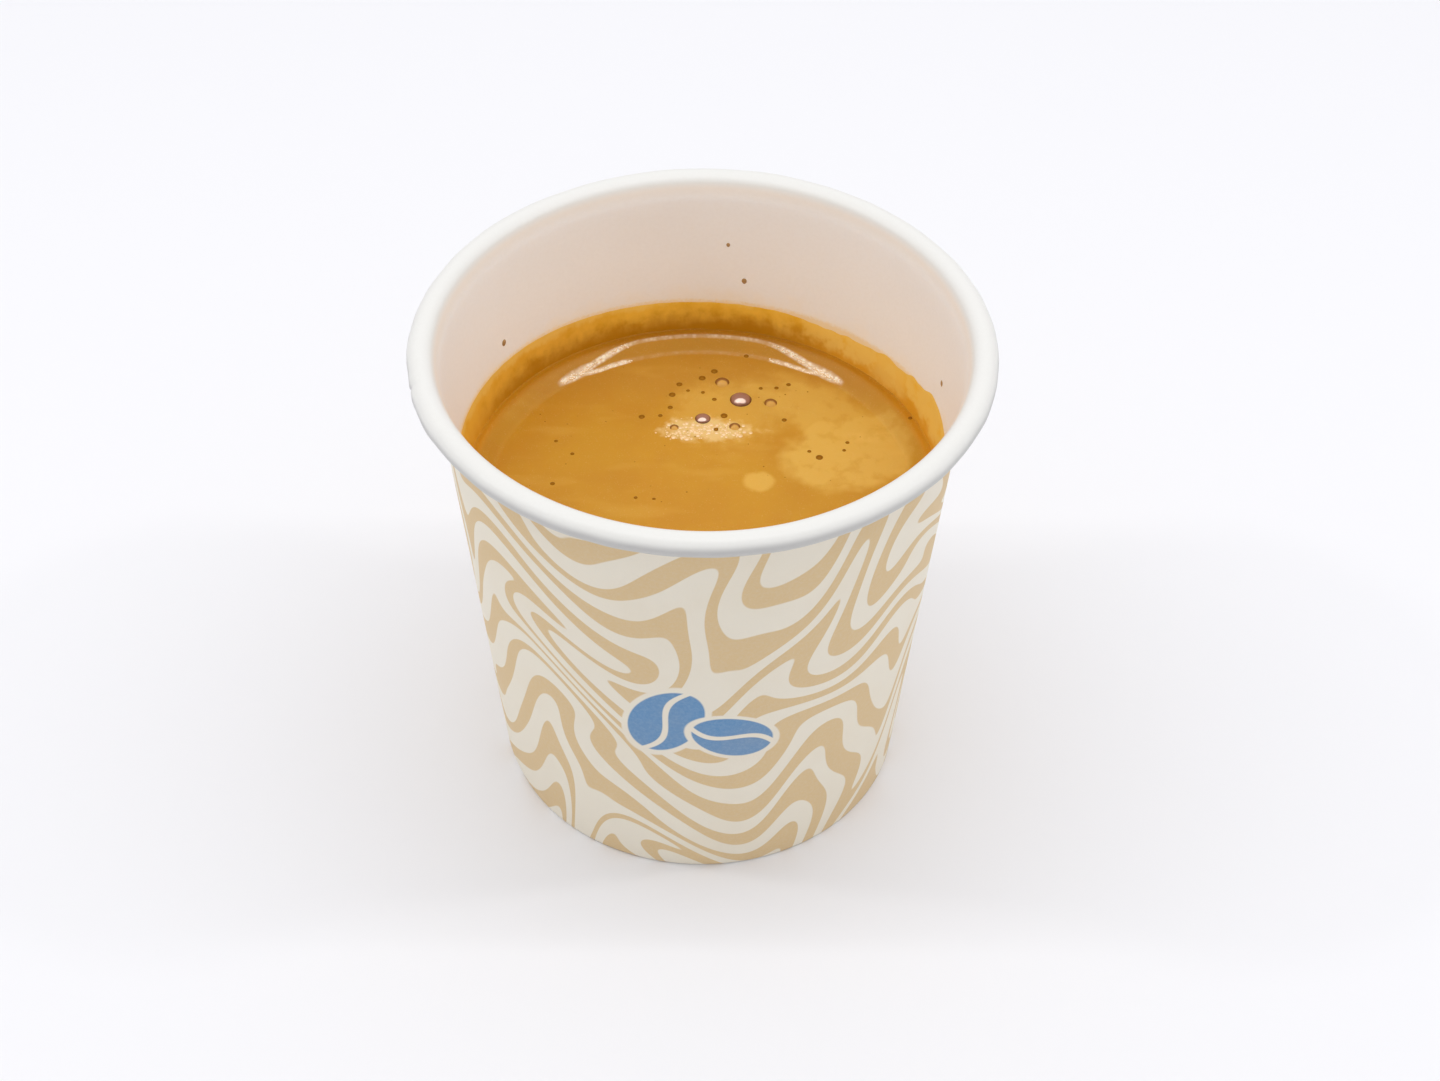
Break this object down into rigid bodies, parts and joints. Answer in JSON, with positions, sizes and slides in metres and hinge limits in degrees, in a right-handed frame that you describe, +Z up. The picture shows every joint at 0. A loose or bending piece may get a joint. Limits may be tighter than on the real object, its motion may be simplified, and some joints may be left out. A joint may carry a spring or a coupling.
{
  "type": "espresso shot in a paper cup",
  "caption": "Espresso with its crema in a small tapered paper cup with a rolled rim, a lapped side seam and a recessed base.",
  "frame": {"origin": "centre of the cup's foot, on the surface that it stands on", "axes": "+Z up along the cup's axis, out of its mouth; +X to the right and -Y towards the viewer of the picture"},
  "size_m": [0.062, 0.062, 0.0586],
  "materials": {
    "printed_paper": "uncoated outside with tan and cream print, thin glossy lining inside",
    "base_paper": "plain white board",
    "crema": "fine golden brown foam, satin and wet"
  },
  "bodies": {
    "root": {"cup_wall": "printed_paper", "cup_base": "base_paper", "espresso": "crema"}
  },
  "joints": []
}
